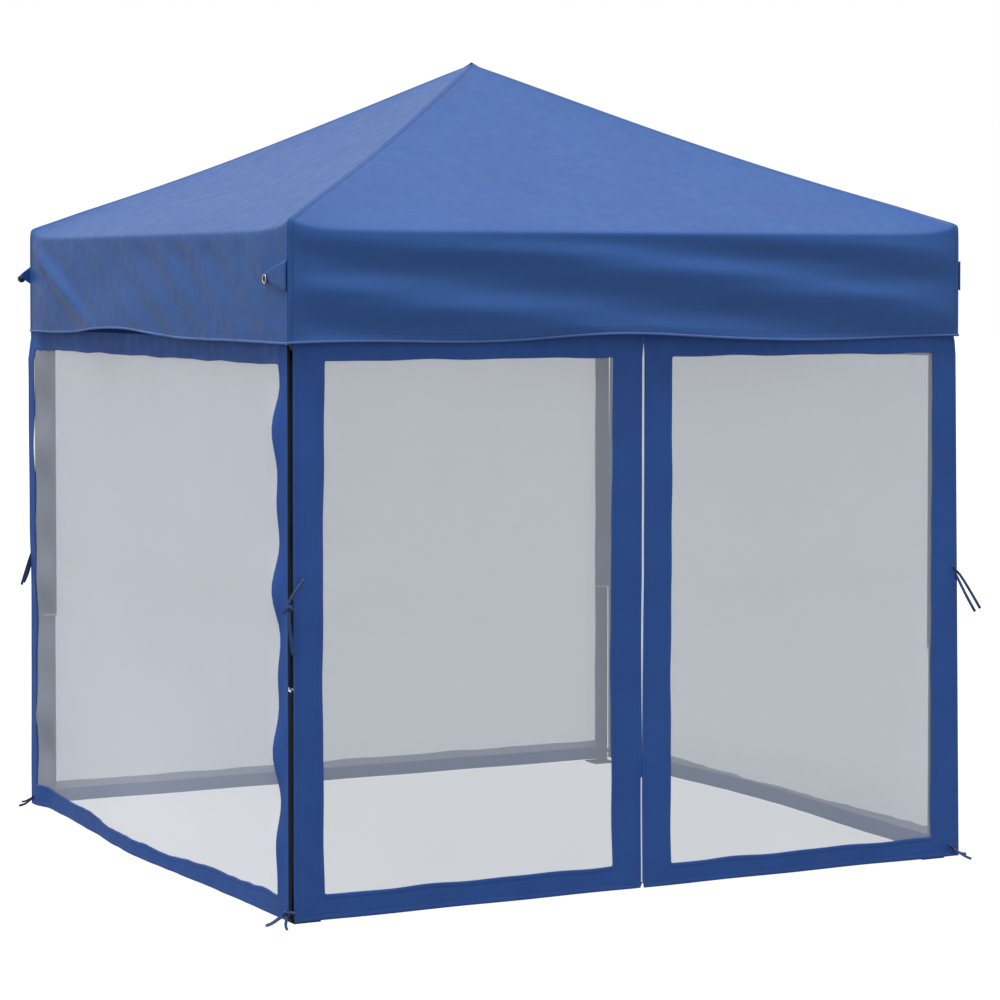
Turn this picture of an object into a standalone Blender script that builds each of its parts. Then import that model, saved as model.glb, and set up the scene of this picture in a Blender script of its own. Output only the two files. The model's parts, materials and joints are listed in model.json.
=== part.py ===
"""Pop up gazebo, 2 m square: scissor frame, telescopic legs, pyramid canopy and four net side walls.

Metres, +Z up.  The origin is on the ground at the middle of the square.  The four corners are called
front_left, front_right, back_left and back_right, with the front at -Y and the left at -X.
Every side has two scissors.  Their bars lie in two layers, so that they pass each other when it folds.
"""
import bpy
import bmesh
from math import acos, atan2, cos, hypot, pi, radians, sin
from mathutils import Matrix, Vector

# ---- driving dimensions ----
ROOF_HALF = 1.0            # half of the canopy's width
EAVE_Z = 1.712             # fold between roof and valance
APEX_Z = 2.205             # peak of the canopy
VALANCE_DROP = 0.277       # height of the hanging edge
FABRIC = 0.002             # thickness of the canopy's and walls' solids
WALL_HALF = 0.9775         # middle of the gazebo to a side wall's outer face
WALL_BOTTOM = 0.012
WALL_TOP = 1.70
LEG_HALF = 0.950           # middle of the gazebo to a leg's axis
LEG_TUBE = 0.032           # outer leg, square
LEG_WALL = 0.0013
LEG_JOINT_Z = 0.58         # lower end of the outer leg
INNER_TUBE = 0.026         # inner leg, square
INNER_OVERLAP = 0.12       # how far the inner leg reaches into the outer leg
FOOT_OUT = 0.020           # foot plate, from the leg's axis to its outer edges
FOOT_IN = 0.052            # and to its inner edges
FOOT_THICK = 0.004
PIVOT_Z = 1.690            # pivots at the top of the scissors
PIVOT_REACH = 0.045        # a leg's axis to the scissors' pivots on it
OPEN_ANGLE = radians(15)   # slope of the bars when the gazebo stands
FOLDED_ANGLE = radians(82) # slope of the bars when it is folded
BAR_WIDTH = 0.020
BAR_THICK = 0.008
LAYER_GAP = 0.0005         # each layer of bars to the middle plane of the side
PIN_RADIUS = 0.004
HOLE_RADIUS = 0.0045
BRACKET = 0.042            # corner bracket, square
SLIDER = 0.046             # sliding bracket, square
SLIDER_HIGH = 0.060
BUTTON_RADIUS = 0.006
GAP = 0.0003               # clearance between touching pieces

# ---- what follows from them ----
BAR_SPAN = LEG_HALF - PIVOT_REACH                # level reach of one bar, half a side less a pivot
BAR_LENGTH = BAR_SPAN / cos(OPEN_ANGLE)
BAR_RISE = BAR_LENGTH * sin(OPEN_ANGLE)
LOW_Z = PIVOT_Z - BAR_RISE                       # pivots at the bottom of the scissors
LAYER = LAYER_GAP + BAR_THICK / 2                # middle of a bar to the side's middle plane
# A roof strut has the scissor bars' length and slope at every stage of folding, which it gets by
# having its foot this far inside the side's middle plane and its head this far from the hub's axis.
STRUT_REACH = PIVOT_REACH / 2
ROOF_RISE = APEX_Z - EAVE_Z
ROOF_SLANT = hypot(ROOF_HALF, ROOF_RISE)
ROOF_SLOPE = atan2(ROOF_RISE, ROOF_HALF)
# A folded roof panel hangs down to its crease and rises to the peak again at the same slope.
FOLDED_REACH = ROOF_HALF - BAR_SPAN + BAR_LENGTH * cos(FOLDED_ANGLE)
FOLDED_SLOPE = acos(FOLDED_REACH / ROOF_SLANT)
CREASE = (ROOF_SLANT - ROOF_RISE / sin(FOLDED_SLOPE)) / 2    # measured up the slope from the eave

X, Y, Z = Vector((1, 0, 0)), Vector((0, 1, 0)), Vector((0, 0, 1))
CORNERS = {"front_left": (-1, -1), "front_right": (1, -1), "back_left": (-1, 1), "back_right": (1, 1)}
# each side: its first corner, its last corner and its outward normal
SIDES = {
    "front": ("front_left", "front_right", -Y),
    "right": ("front_right", "back_right", X),
    "back": ("back_left", "back_right", Y),
    "left": ("front_left", "back_left", -X),
}


def clear_scene():
    for obj in list(bpy.data.objects):
        bpy.data.objects.remove(obj, do_unlink=True)


def material(name, color, roughness, metallic=0.0):
    mat = bpy.data.materials.new(name)
    mat.use_nodes = True
    shader = mat.node_tree.nodes["Principled BSDF"]
    shader.inputs["Base Color"].default_value = (*color, 1)
    shader.inputs["Roughness"].default_value = roughness
    shader.inputs["Metallic"].default_value = metallic
    return mat


def add_object(name, bm, mat):
    """Turn a bmesh in world space into an object called name, and free it."""
    bmesh.ops.recalc_face_normals(bm, faces=bm.faces)
    mesh = bpy.data.meshes.new(name)
    bm.to_mesh(mesh)
    bm.free()
    obj = bpy.data.objects.new(name, mesh)
    bpy.context.scene.collection.objects.link(obj)
    if mat:
        mesh.materials.append(mat)
    return obj


def box(low, high):
    """A box between two corners, given in any order."""
    bm = bmesh.new()
    middle = (Vector(low) + Vector(high)) / 2
    size = Vector([abs(b - a) for a, b in zip(low, high)])
    bmesh.ops.create_cube(bm, size=1, matrix=Matrix.Translation(middle) @ Matrix.Diagonal((*size, 1)))
    return bm


def rod(start, end, radius, sides=12):
    """A round bar from start to end."""
    start, end = Vector(start), Vector(end)
    turn = (end - start).to_track_quat("Z", "Y").to_matrix().to_4x4()
    bm = bmesh.new()
    bmesh.ops.create_cone(bm, cap_ends=True, segments=sides, radius1=radius, radius2=radius,
                          depth=(end - start).length,
                          matrix=Matrix.Translation((start + end) / 2) @ turn)
    return bm


def prism(outline, depth):
    """Extrude a planar outline of world points by the vector depth."""
    bm = bmesh.new()
    face = bm.faces.new([bm.verts.new(p) for p in outline])
    grown = bmesh.ops.extrude_face_region(bm, geom=[face])
    moved = [v for v in grown["geom"] if isinstance(v, bmesh.types.BMVert)]
    bmesh.ops.translate(bm, verts=moved, vec=depth)
    return bm


def combine(obj, pieces, operation):
    """Join pieces to obj, or cut them out of it, and apply the result to its mesh."""
    for bm in pieces:
        cutter = add_object("cutter", bm, None)
        cut = obj.modifiers.new("cut", "BOOLEAN")
        cut.solver = "EXACT"
        cut.operation = operation
        cut.object = cutter
        bpy.context.view_layer.update()
        graph = bpy.context.evaluated_depsgraph_get()
        mesh = bpy.data.meshes.new_from_object(obj.evaluated_get(graph))
        obj.modifiers.clear()
        obj.data = mesh
        bpy.data.objects.remove(cutter, do_unlink=True)


def set_origin(obj, point):
    """Move the object's origin onto its joint without moving its shape."""
    obj.data.transform(Matrix.Translation(-Vector(point)))
    obj.location = point


def corner_point(corner, z=0.0):
    sx, sy = CORNERS[corner]
    return Vector((sx * LEG_HALF, sy * LEG_HALF, z))


def side_frame(side):
    """The side's first corner on the ground, the unit vector along it and its outward normal."""
    first, last, out = SIDES[side]
    start = corner_point(first)
    along = (corner_point(last) - start).normalized()
    return start, along, out


# ---- legs ----
def upper_leg(corner, mat):
    base = corner_point(corner, LEG_JOINT_Z)
    half = Vector((LEG_TUBE / 2, LEG_TUBE / 2, 0))
    bore = Vector((LEG_TUBE / 2 - LEG_WALL, LEG_TUBE / 2 - LEG_WALL, 0))
    top = Z * (PIVOT_Z + 0.022 - LEG_JOINT_Z)
    obj = add_object(f"upper_leg_{corner}", box(base - half, base + half + top), mat)
    combine(obj, [box(base - bore - Z * 0.01, base + bore + top + Z * 0.01)], "DIFFERENCE")


def lower_leg(corner, mat):
    """Square tube with its foot plate welded on, open at the top."""
    base = corner_point(corner)
    half = Vector((INNER_TUBE / 2, INNER_TUBE / 2, 0))
    bore = Vector((INNER_TUBE / 2 - LEG_WALL, INNER_TUBE / 2 - LEG_WALL, 0))
    top = Z * (LEG_JOINT_Z + INNER_OVERLAP)
    outward = Vector((*CORNERS[corner], 0))
    obj = add_object(f"lower_leg_{corner}", box(base - half, base + half + top), mat)
    plate = box(base + outward * FOOT_OUT, base - outward * FOOT_IN + Z * FOOT_THICK)
    combine(obj, [plate], "UNION")
    combine(obj, [box(base - bore + Z * FOOT_THICK * 2, base + bore + top + Z * 0.01)], "DIFFERENCE")
    set_origin(obj, base)


def lugs_at(corner, z, at_top):
    """The sides that meet at a corner, with the pivot and the layer of the bar that ends there."""
    for side, (first, last, out) in SIDES.items():
        if corner not in (first, last):
            continue
        along = side_frame(side)[1]
        if corner == last:
            along = -along
        outer_bar = (corner == first) == at_top
        yield corner_point(corner, z) + along * PIVOT_REACH, along, out if outer_bar else -out


def lug(pivot, along, to_bar):
    """A plate beside the bar's layer, reaching back by along, and the pin that crosses the bar."""
    near = pivot - to_bar * LAYER_GAP
    far = pivot - to_bar * (LAYER_GAP + BAR_THICK)
    low = near - along * (PIVOT_REACH - BRACKET / 2 + 0.002) - Z * BAR_WIDTH / 2
    high = far + along * BAR_WIDTH / 2 + Z * BAR_WIDTH / 2
    pin = rod(far + to_bar * 0.001, pivot + to_bar * (LAYER_GAP + BAR_THICK + 0.001), PIN_RADIUS)
    return [box(low, high), pin]


def corner_bracket(corner, mat):
    """A cap over the leg's top with a lug for each of the two sides."""
    base = corner_point(corner, PIVOT_Z - 0.035)
    half = Vector((BRACKET / 2, BRACKET / 2, 0))
    bore = Vector((LEG_TUBE / 2 + GAP, LEG_TUBE / 2 + GAP, 0))
    obj = add_object(f"corner_bracket_{corner}", box(base - half, base + half + Z * 0.063), mat)
    combine(obj, [box(base - bore - Z * 0.01, base + bore + Z * (0.057 + GAP))], "DIFFERENCE")
    for pivot, along, to_bar in lugs_at(corner, PIVOT_Z, at_top=True):
        combine(obj, lug(pivot, along, to_bar), "UNION")


def slider(corner, mat, button_mat):
    """The sleeve that rides on the leg, with two lugs and its release button."""
    base = corner_point(corner, LOW_Z - SLIDER_HIGH / 2)
    half = Vector((SLIDER / 2, SLIDER / 2, 0))
    bore = Vector((LEG_TUBE / 2 + 2 * GAP, LEG_TUBE / 2 + 2 * GAP, 0))
    obj = add_object(f"slider_{corner}", box(base - half, base + half + Z * SLIDER_HIGH), mat)
    for pivot, along, to_bar in lugs_at(corner, LOW_Z, at_top=False):
        combine(obj, lug(pivot, along, to_bar), "UNION")
    combine(obj, [box(base - bore - Z * 0.01, base + bore + Z * (SLIDER_HIGH + 0.01))], "DIFFERENCE")
    inward = -X * CORNERS[corner][0]
    face = corner_point(corner, LOW_Z - 0.020) + inward * SLIDER / 2
    seat = face - inward * 0.005
    combine(obj, [rod(seat, face + inward * 0.01, BUTTON_RADIUS + 2 * GAP)], "DIFFERENCE")
    set_origin(obj, corner_point(corner, LOW_Z))
    # the button stops 0.7 mm above its seat at the end of its 3 mm travel
    button = add_object(f"slider_button_{corner}",
                        rod(seat + inward * 0.0037, face + inward * 0.0045, BUTTON_RADIUS), button_mat)
    set_origin(button, face)


# ---- scissors ----
def bar(name, start, end, across, mat, holes=(), pins=()):
    """A flat bar between two pivots with round ends; across is its thickness direction.

    holes are pivots that it turns on; pins are (pivot, direction) of the pins riveted into it.
    """
    run = (end - start).normalized()
    up = run.cross(across).normalized()
    steps = 6
    outline = []
    for centre, turn in ((end, 0), (start, pi)):
        for i in range(steps + 1):
            angle = turn - pi / 2 + pi * i / steps
            outline.append(centre + (run * cos(angle) + up * sin(angle)) * BAR_WIDTH / 2
                           - across * BAR_THICK / 2)
    obj = add_object(name, prism(outline, across * BAR_THICK), mat)
    for point in holes:
        combine(obj, [rod(point - across * 0.02, point + across * 0.02, HOLE_RADIUS)], "DIFFERENCE")
    for point, way in pins:
        combine(obj, [rod(point, point + way * (BAR_THICK * 1.5 + 2 * LAYER_GAP + 0.001), PIN_RADIUS)],
                "UNION")
    set_origin(obj, start)


def side_scissors(side, mat):
    """Two scissors: bars a run down and bars b run up, seen from the side's first corner."""
    start, along, out = side_frame(side)
    left, middle, right = PIVOT_REACH, LEG_HALF, 2 * LEG_HALF - PIVOT_REACH

    def at(distance, z, layer):
        return start + along * distance + Z * z + out * layer

    quarter = (left + middle) / 2
    three_quarter = (middle + right) / 2
    half_z = (PIVOT_Z + LOW_Z) / 2
    bar(f"{side}_scissor_a1", at(left, PIVOT_Z, LAYER), at(middle, LOW_Z, LAYER), out, mat,
        holes=[at(left, PIVOT_Z, LAYER), at(middle, LOW_Z, LAYER)],
        pins=[(at(quarter, half_z, LAYER), -out)])
    bar(f"{side}_scissor_b1", at(left, LOW_Z, -LAYER), at(middle, PIVOT_Z, -LAYER), out, mat,
        holes=[at(left, LOW_Z, -LAYER), at(quarter, half_z, -LAYER)],
        pins=[(at(middle, PIVOT_Z, -LAYER), out)])
    bar(f"{side}_scissor_a2", at(middle, PIVOT_Z, LAYER), at(right, LOW_Z, LAYER), out, mat,
        holes=[at(middle, PIVOT_Z, LAYER), at(right, LOW_Z, LAYER)],
        pins=[(at(three_quarter, half_z, LAYER), -out)])
    bar(f"{side}_scissor_b2", at(middle, LOW_Z, -LAYER), at(right, PIVOT_Z, -LAYER), out, mat,
        holes=[at(middle, LOW_Z, -LAYER), at(three_quarter, half_z, -LAYER), at(right, PIVOT_Z, -LAYER)])


def middle_bracket(side, mat):
    """Joins a side's two lower bar ends to the roof strut that runs to the hub."""
    start, along, out = side_frame(side)
    pivot = start + along * LEG_HALF + Z * LOW_Z
    back = 2 * LAYER_GAP + BAR_THICK
    deep = 0.003
    low = pivot - out * back - along * 0.014 - Z * 0.016
    high = pivot - out * (back + deep) + along * 0.014 + Z * 0.016
    obj = add_object(f"middle_bracket_{side}", box(low, high), mat)
    strut_pivot = pivot - out * STRUT_REACH
    arm_low = pivot - out * (back + deep / 2) - along * (LAYER_GAP + BAR_THICK) - Z * BAR_WIDTH / 2
    arm_high = strut_pivot - out * BAR_WIDTH / 2 - along * LAYER_GAP + Z * BAR_WIDTH / 2
    strut_pin = rod(strut_pivot - along * BAR_THICK / 2,
                    strut_pivot + along * (LAYER_GAP + BAR_THICK + 0.001), PIN_RADIUS)
    bar_pin = rod(pivot - out * (back + deep / 2), pivot + out * (back + 0.001), PIN_RADIUS)
    combine(obj, [box(arm_low, arm_high), strut_pin, bar_pin], "UNION")
    set_origin(obj, pivot)


def roof_strut(side, mat):
    """From the side's middle bracket up to the hub, parallel to the scissors' bars."""
    start, along, out = side_frame(side)
    foot = start + along * (LEG_HALF + LAYER) + Z * LOW_Z - out * STRUT_REACH
    head = along * LAYER + out * STRUT_REACH + Z * PIVOT_Z
    bar(f"roof_strut_{side}", foot, head, along, mat, holes=[foot, head])


def hub(mat):
    """The block in the middle that the four struts meet at."""
    block = 0.024
    high = Vector((block / 2, block / 2, 0.018))
    obj = add_object("hub", box(Z * PIVOT_Z - high, Z * PIVOT_Z + high), mat)
    for side in SIDES:
        along, out = side_frame(side)[1:]
        pivot = Z * PIVOT_Z + out * STRUT_REACH
        arm_low = Z * (PIVOT_Z - BAR_WIDTH / 2) - along * (LAYER_GAP + BAR_THICK) + out * (block / 2 - 0.002)
        arm_high = pivot + out * BAR_WIDTH / 2 - along * LAYER_GAP + Z * BAR_WIDTH / 2
        pin = rod(pivot - along * BAR_THICK / 2,
                  pivot + along * (LAYER_GAP + BAR_THICK + 0.001), PIN_RADIUS)
        combine(obj, [box(arm_low, arm_high), pin], "UNION")
    set_origin(obj, Z * PIVOT_Z)
    return PIVOT_Z + high.z


def peak_pole(foot_z, pole_mat, cap_mat):
    """The pole on the hub and the round cap that carries the canopy's peak."""
    cap_z = APEX_Z - 0.040
    add_object("peak_pole", rod(Z * (foot_z + GAP), Z * (cap_z - GAP), 0.009, sides=16), pole_mat)
    add_object("peak_cap", rod(Z * cap_z, Z * (cap_z + 0.014), 0.030, sides=24), cap_mat)


# ---- fabric ----
def roof_point(side, across, up_slope, depth=0.0):
    """A point on a roof panel: across from its middle line, up the slope from the eave, depth inside."""
    along, out = side_frame(side)[1:]
    normal = out * sin(ROOF_SLOPE) + Z * cos(ROOF_SLOPE)
    level = ROOF_HALF - up_slope * cos(ROOF_SLOPE)
    return along * across + out * level + Z * (EAVE_Z + up_slope * sin(ROOF_SLOPE)) - normal * depth


def roof_panel(name, side, low, high, mat):
    """The part of a roof panel between two heights up the slope, clear of the panels beside it."""
    seam = 0.002

    def half_width(up_slope):
        return ROOF_HALF * (1 - up_slope / ROOF_SLANT) - seam

    normal = roof_point(side, 0, 0) - roof_point(side, 0, 0, 1)
    outline = [roof_point(side, -half_width(low), low), roof_point(side, half_width(low), low),
               roof_point(side, half_width(high), high), roof_point(side, -half_width(high), high)]
    obj = add_object(name, prism(outline, -normal * FABRIC), mat)
    set_origin(obj, roof_point(side, 0, low))


def roof(mat):
    for side in SIDES:
        roof_panel(f"roof_lower_{side}", side, 0.0005, CREASE - 0.0005, mat)
        roof_panel(f"roof_upper_{side}", side, CREASE + 0.0005, ROOF_SLANT - 0.012, mat)


def valance(mat):
    """The hanging edge, a square ring under the eave."""
    low = Vector((-ROOF_HALF, -ROOF_HALF, EAVE_Z - VALANCE_DROP))
    high = Vector((ROOF_HALF, ROOF_HALF, EAVE_Z - 2 * FABRIC))
    inset = Vector((FABRIC, FABRIC, 0))
    obj = add_object("valance", box(low, high), mat)
    combine(obj, [box(low + inset - Z * 0.01, high - inset + Z * 0.01)], "DIFFERENCE")


def side_wall(side, mat):
    """A net wall with its border, hanging outside the legs and inside the valance.

    The front and back walls cover the legs; the left and right walls end between the legs.
    """
    start, along, out = side_frame(side)
    covers_legs = side in ("front", "back")
    half = WALL_HALF if covers_legs else LEG_HALF - LEG_TUBE / 2 - 0.002
    low = out * WALL_HALF - along * half + Z * WALL_BOTTOM
    high = out * (WALL_HALF - FABRIC) + along * half + Z * WALL_TOP
    add_object(f"wall_{side}", box(low, high), mat)


clear_scene()
FRAME = material("frame_black", (0.018, 0.018, 0.020), 0.42, 0.6)
PLASTIC = material("bracket_black", (0.022, 0.022, 0.024), 0.5)
BUTTON = material("button_grey", (0.16, 0.16, 0.17), 0.5)
CANOPY = material("canopy_blue", (0.045, 0.11, 0.36), 0.6)
WALL = material("wall_blue", (0.05, 0.12, 0.38), 0.7)

for corner_name in CORNERS:
    upper_leg(corner_name, FRAME)
    lower_leg(corner_name, FRAME)
    corner_bracket(corner_name, PLASTIC)
    slider(corner_name, PLASTIC, BUTTON)
for side_name in SIDES:
    side_scissors(side_name, FRAME)
    middle_bracket(side_name, PLASTIC)
    roof_strut(side_name, FRAME)
    side_wall(side_name, WALL)
peak_pole(hub(PLASTIC), FRAME, PLASTIC)
roof(CANOPY)
valance(CANOPY)
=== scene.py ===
"""Looks of the pop up gazebo: sewn canopy, net walls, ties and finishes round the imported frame.

Metres, +Z up, the front is -Y and the left is -X, as in the CAD.  Every sheet is built in mesh code.
A point of a side is given by how far it is across the side, how far out from the middle, and its height.
"""

import json
from math import atan, ceil, cos, exp, hypot, pi, radians, sin, sqrt

import bmesh
import bpy
import numpy as np
from mathutils import Matrix, Vector, noise


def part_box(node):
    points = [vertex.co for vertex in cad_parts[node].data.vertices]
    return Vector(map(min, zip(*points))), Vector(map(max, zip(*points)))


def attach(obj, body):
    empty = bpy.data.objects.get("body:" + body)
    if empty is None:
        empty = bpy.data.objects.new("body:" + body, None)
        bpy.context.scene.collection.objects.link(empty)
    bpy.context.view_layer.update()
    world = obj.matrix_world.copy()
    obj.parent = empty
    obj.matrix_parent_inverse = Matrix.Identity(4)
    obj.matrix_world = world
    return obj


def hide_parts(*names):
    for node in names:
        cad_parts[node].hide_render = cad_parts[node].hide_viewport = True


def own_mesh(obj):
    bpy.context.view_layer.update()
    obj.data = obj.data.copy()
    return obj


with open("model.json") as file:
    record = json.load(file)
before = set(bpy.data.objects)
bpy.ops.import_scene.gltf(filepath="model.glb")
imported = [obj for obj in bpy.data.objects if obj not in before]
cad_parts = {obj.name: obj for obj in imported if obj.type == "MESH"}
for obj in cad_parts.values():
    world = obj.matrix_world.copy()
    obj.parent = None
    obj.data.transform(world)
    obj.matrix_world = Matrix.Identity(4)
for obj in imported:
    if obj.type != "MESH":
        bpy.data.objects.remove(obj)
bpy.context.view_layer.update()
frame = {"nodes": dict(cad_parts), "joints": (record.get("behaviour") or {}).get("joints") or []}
JOINTS = {j["name"]: j for j in frame["joints"]}
NODES = frame["nodes"]
UP = Vector((0, 0, 1))

# ---- sizes ----
HALF = 1.0                  # half of the canopy's width
APEX_Z = 2.205              # peak of the canopy's cloth
CORNER_Z = 1.740            # eave at the corners
EAVE_Z = 1.712              # eave between them
HEM_Z = 1.435               # lower edge of the valance
CORNER_PULL = 0.008         # how far the canopy's corners are drawn in
FOLD_RADIUS = 0.0075        # of the cloth over the eave
CREASE_OUT = -JOINTS["roof_crease_front"]["pos_m"][1]   # where a folded roof panel bends back up
WALL_OUT = 0.9765           # middle to the middle of a side wall's cloth

# ---- share of its width that cloth keeps when the frame is folded, and where it is held across a side ----
LONG_WALL_KEEP, LONG_WALL_HELD = 0.2076, -0.9775      # front and back
SHORT_WALL_KEEP, SHORT_WALL_HELD = 0.1846, -0.95      # left and right

# ---- sides: direction across, direction out, body that the cloth hangs on ----
X, Y = Vector((1, 0, 0)), Vector((0, 1, 0))
SIDES = {
    "front": (X, -Y, "frame_root"),
    "right": (Y, X, "leg_front_right"),
    "back": (X, Y, "leg_back_left"),
    "left": (Y, -X, "frame_root"),
}
# ---- corners: signs of x and y, body that the cloth hangs on ----
CORNERS = {
    "front_left": (-1, -1, "frame_root"),
    "front_right": (1, -1, "leg_front_right"),
    "back_left": (-1, 1, "leg_back_left"),
    "back_right": (1, 1, "leg_back_right"),
}


def at(side, across, out, z):
    """A point of a side, from its place across, out from the middle, and height."""
    along, outward, _ = SIDES[side]
    return along * across + outward * out + UP * z


def smooth(t):
    """0 below 0, 1 above 1, and a soft step between them."""
    t = min(max(t, 0.0), 1.0)
    return t * t * (3 - 2 * t)


# ---------------------------------------------------------------- materials
def node(tree, kind, **sockets):
    """A shader node with its inputs set, each to a value or to another node's output."""
    made = tree.nodes.new("ShaderNode" + kind)
    for name, value in sockets.items():
        socket = made.inputs[name.replace("_", " ")]
        if isinstance(value, bpy.types.NodeSocket):
            tree.links.new(value, socket)
        else:
            socket.default_value = value
    return made


def maths(tree, operation, *values):
    """The output of a maths node."""
    made = tree.nodes.new("ShaderNodeMath")
    made.operation = operation
    for socket, value in zip(made.inputs, values):
        if isinstance(value, bpy.types.NodeSocket):
            tree.links.new(value, socket)
        else:
            socket.default_value = value
    return made.outputs[0]


def blend_colours(tree, share, a, b):
    """The mix of two colours: a where share is 0, and b where it is 1."""
    made = tree.nodes.new("ShaderNodeMix")
    made.data_type = "RGBA"
    factor, first, second, mixed = 0, 6, 7, 2       # the colour sockets of a mix node
    for index, value in ((factor, share), (first, a), (second, b)):
        if isinstance(value, bpy.types.NodeSocket):
            tree.links.new(value, made.inputs[index])
        else:
            made.inputs[index].default_value = value
    return made.outputs[mixed]


def rgba(colour, scale=1.0):
    return (*[c * scale for c in colour], 1)


def new_material(name, roughness, metallic=0.0, **shader_values):
    mat = bpy.data.materials.new(name)
    mat.use_nodes = True
    shader = mat.node_tree.nodes["Principled BSDF"]
    shader.inputs["Roughness"].default_value = roughness
    shader.inputs["Metallic"].default_value = metallic
    for key, value in shader_values.items():
        shader.inputs[key.replace("_", " ")].default_value = value
    return mat, mat.node_tree, shader


def threads(tree, where, per_metre):
    """The height of a plain weave: bands of threads along all three axes."""
    total = None
    for direction in "XYZ":
        bands = node(tree, "TexWave", Vector=where, Scale=per_metre * 2 * pi / 20, Distortion=0.6, Detail=0.0)
        bands.bands_direction = direction
        out = bands.outputs["Fac"]
        total = out if total is None else maths(tree, "ADD", total, out)
    return total


def cloth(name, colour, roughness, weave=450, bump=0.35, crumple=0.25, variation=0.10, **shader_values):
    """Woven cloth: thread relief, fine crumples, uneven dye, and seams where the mesh marks them."""
    mat, tree, shader = new_material(name, roughness, **shader_values)
    where = node(tree, "TexCoord").outputs["Object"]
    cloudy = node(tree, "TexNoise", Vector=where, Scale=5.0, Detail=6.0, Roughness=0.62)
    dye = node(tree, "MapRange", Value=cloudy.outputs["Fac"], From_Min=0.3, From_Max=0.7)
    base = blend_colours(tree, dye.outputs[0], rgba(colour, 1 - variation), rgba(colour, 1 + variation))
    seam = node(tree, "Attribute")
    seam.attribute_name = "seam"
    stitches = node(tree, "TexWave", Vector=where, Scale=170.0, Distortion=0.0, Detail=0.0)
    stitches.bands_direction = "DIAGONAL"
    dashes = maths(tree, "MULTIPLY_ADD", stitches.outputs["Fac"], 0.35, 0.65)
    depth = maths(tree, "MULTIPLY", maths(tree, "MULTIPLY", seam.outputs["Fac"], dashes), 0.75)
    base = blend_colours(tree, depth, base, rgba(colour, 0.25))
    tree.links.new(base, shader.inputs["Base Color"])
    fine = node(tree, "TexNoise", Vector=where, Scale=26.0, Detail=5.0, Roughness=0.55, Distortion=0.6)
    uneven = node(tree, "MapRange", Value=fine.outputs["Fac"], From_Min=0.3, From_Max=0.7,
                  To_Min=roughness - 0.06, To_Max=roughness + 0.08)
    tree.links.new(uneven.outputs[0], shader.inputs["Roughness"])
    soft = node(tree, "Bump", Height=fine.outputs["Fac"], Strength=crumple, Distance=0.010)
    woven = node(tree, "Bump", Height=threads(tree, where, weave), Strength=bump, Distance=0.0004,
                 Normal=soft.outputs["Normal"])
    tree.links.new(woven.outputs["Normal"], shader.inputs["Normal"])
    return mat


def net_cloth(name, colour, painted_backlit_inner_colour, alpha, weave=420):
    """Fine net: see-through, with painted light on its inner face, which is much paler to stand in for light
    shining through from outside, and with slight relief of threads.
    """
    mat, tree, shader = new_material(name, 0.85, Alpha=alpha, Specular_IOR_Level=0.15)
    where = node(tree, "TexCoord").outputs["Object"]
    weave_height = threads(tree, where, weave)
    cloudy = node(tree, "TexNoise", Vector=where, Scale=2.2, Detail=3.0)
    outer = blend_colours(tree, cloudy.outputs["Fac"], rgba(colour, 0.96), rgba(colour, 1.04))
    # painted light: the inner face's paler colour stands in for light shining through the net from outside
    inner = blend_colours(tree, cloudy.outputs["Fac"], rgba(painted_backlit_inner_colour, 0.98), rgba(painted_backlit_inner_colour, 1.02))
    base = blend_colours(tree, node(tree, "NewGeometry").outputs["Backfacing"], outer, inner)
    tree.links.new(base, shader.inputs["Base Color"])
    woven = node(tree, "Bump", Height=weave_height, Strength=0.05, Distance=0.0002)
    tree.links.new(woven.outputs["Normal"], shader.inputs["Normal"])
    return mat


def hard(name, colour, roughness, metallic=0.0, grain=260.0, bump=0.12, wear=None, **shader_values):
    """Painted metal or moulded plastic: fine orange peel or grain, uneven gloss, and scuffs."""
    mat, tree, shader = new_material(name, roughness, metallic, **shader_values)
    where = node(tree, "TexCoord").outputs["Object"]
    cloudy = node(tree, "TexNoise", Vector=where, Scale=14.0, Detail=5.0)
    base = blend_colours(tree, cloudy.outputs["Fac"], rgba(colour, 0.85), rgba(colour, 1.15))
    if wear:
        scuffs = node(tree, "TexNoise", Vector=where, Scale=55.0, Detail=6.0, Roughness=0.7)
        rubbed = node(tree, "MapRange", Value=scuffs.outputs["Fac"], From_Min=0.62, From_Max=0.72)
        base = blend_colours(tree, rubbed.outputs[0], base, rgba(wear))
    tree.links.new(base, shader.inputs["Base Color"])
    gloss = node(tree, "MapRange", Value=cloudy.outputs["Fac"], To_Min=roughness - 0.08,
                 To_Max=roughness + 0.08)
    tree.links.new(gloss.outputs[0], shader.inputs["Roughness"])
    peel = node(tree, "TexNoise", Vector=where, Scale=grain, Detail=2.0)
    relief = node(tree, "Bump", Height=peel.outputs["Fac"], Strength=bump, Distance=0.0006)
    tree.links.new(relief.outputs["Normal"], shader.inputs["Normal"])
    return mat


CANOPY_BLUE = (0.012, 0.074, 0.272)
WALL_BLUE = (0.019, 0.073, 0.280)
CANOPY = cloth("canopy_polyester", CANOPY_BLUE, 0.45, bump=0.12, crumple=0.07, variation=0.05,
               Specular_IOR_Level=0.40)
BORDER = cloth("wall_border_polyester", WALL_BLUE, 0.62, bump=0.2, crumple=0.12, variation=0.07,
               Specular_IOR_Level=0.25)
PIPING = cloth("seam_piping", (0.060, 0.130, 0.360), 0.55, weave=700, crumple=0.1)
TAPE = cloth("tie_tape", (0.014, 0.042, 0.140), 0.6, weave=900, crumple=0.1)
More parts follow.
